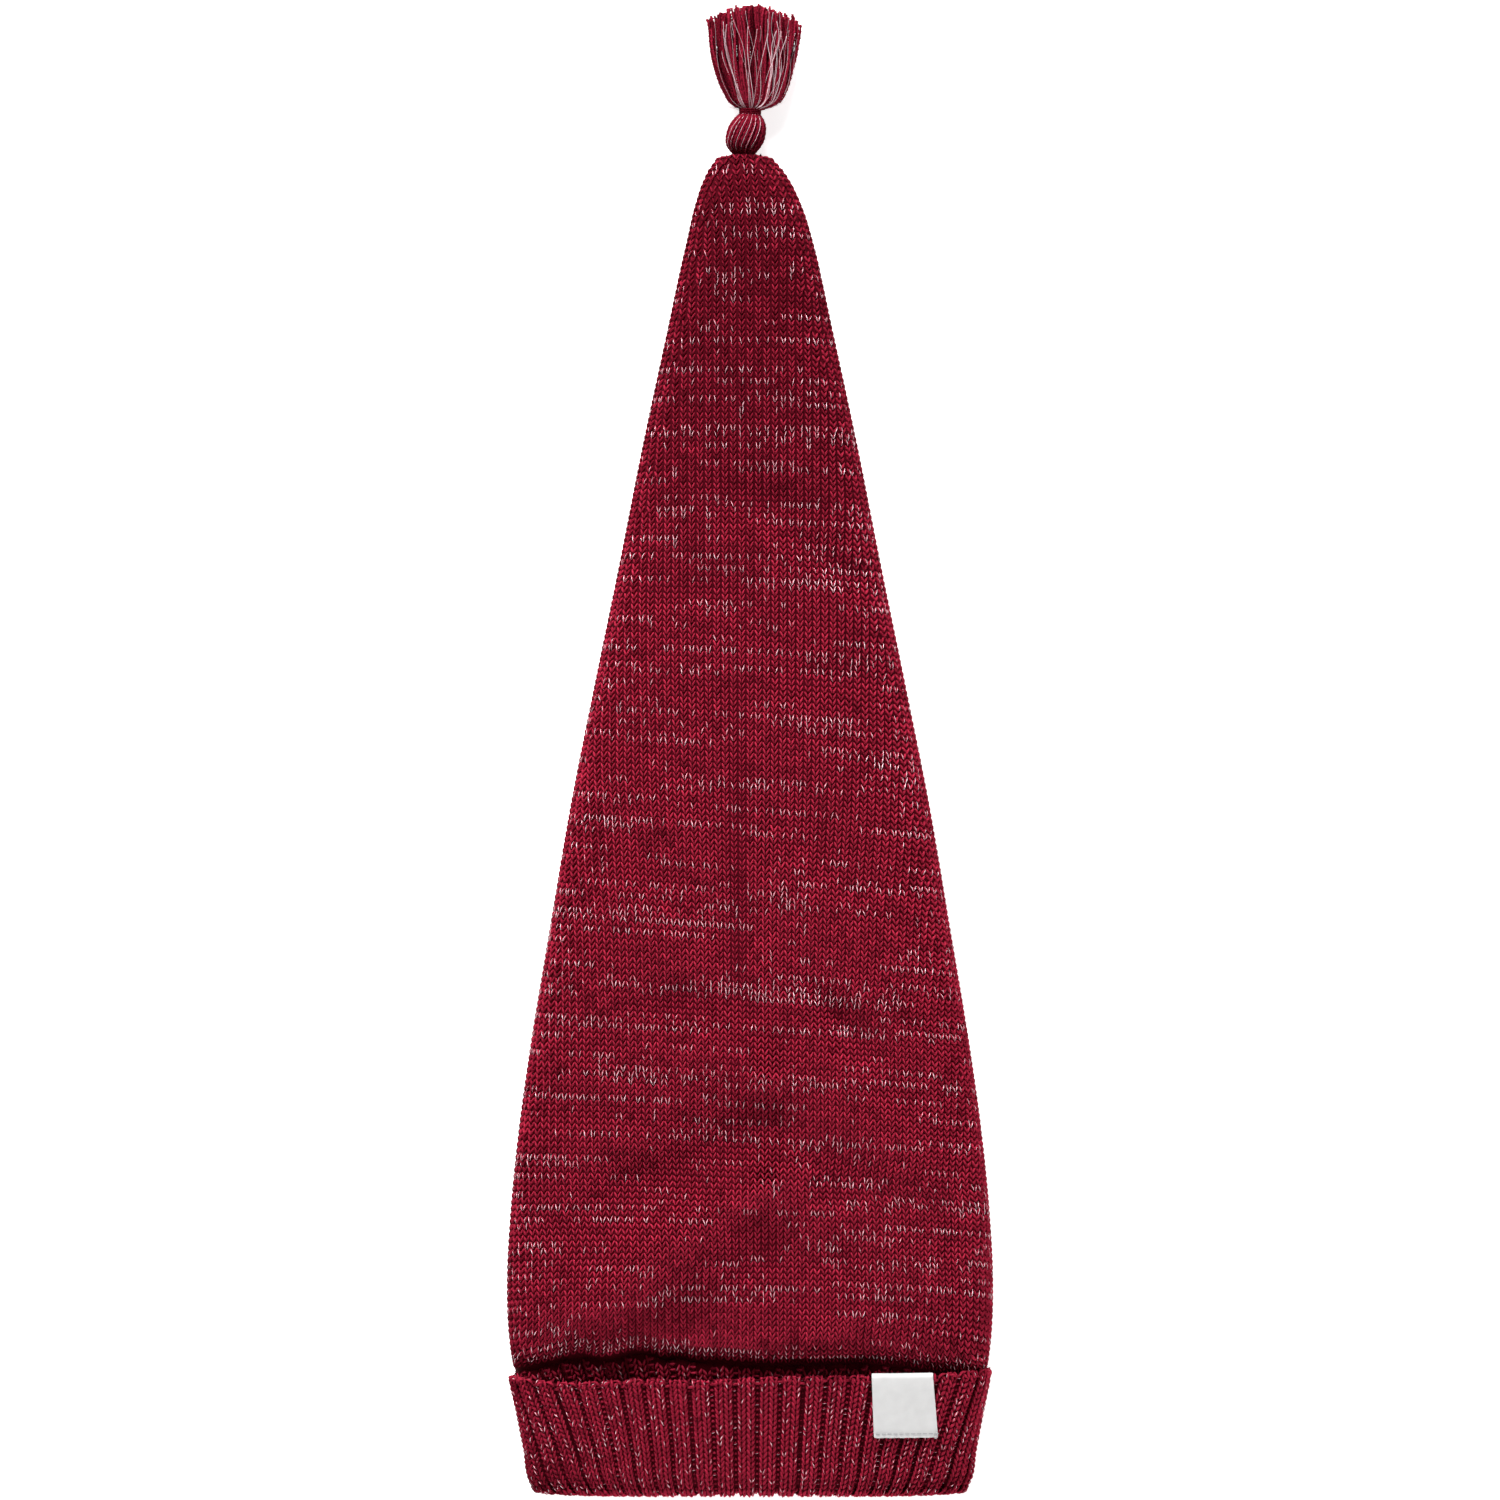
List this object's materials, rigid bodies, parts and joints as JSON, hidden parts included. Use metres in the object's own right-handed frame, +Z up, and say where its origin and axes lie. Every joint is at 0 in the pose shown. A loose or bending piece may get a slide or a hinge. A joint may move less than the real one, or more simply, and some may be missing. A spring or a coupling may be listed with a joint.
{
  "type": "santa hat",
  "caption": "Long pointed knitted hat lying flat, with a turned-up ribbed cuff round an open mouth for a head, a bare tape label over the cuff's edge and a yarn tassel at its gathered tip.",
  "frame": {"origin": "middle of the footprint of the hat as it lies on its back, on the floor", "axes": "+Z up from the floor through the hat's front, +Y from the mouth towards the tassel, +X to the right as seen from above with the tassel at the top"},
  "size_m": [0.2036, 0.6262, 0.0486],
  "materials": {
    "crown_knit": "dark red plain knitting with silver flecks",
    "cuff_rib": "dark red ribbed knitting with silver flecks",
    "label_tape": "white satin-woven tape, bare",
    "tassel_yarn": "dark red plied yarn with silver filaments",
    "tie_yarn": "dark red plied yarn"
  },
  "bodies": {
    "root": {"crown": "crown_knit", "cuff": "cuff_rib", "label": "label_tape", "tassel": "tassel_yarn", "tassel_tie": "tie_yarn"}
  },
  "joints": []
}
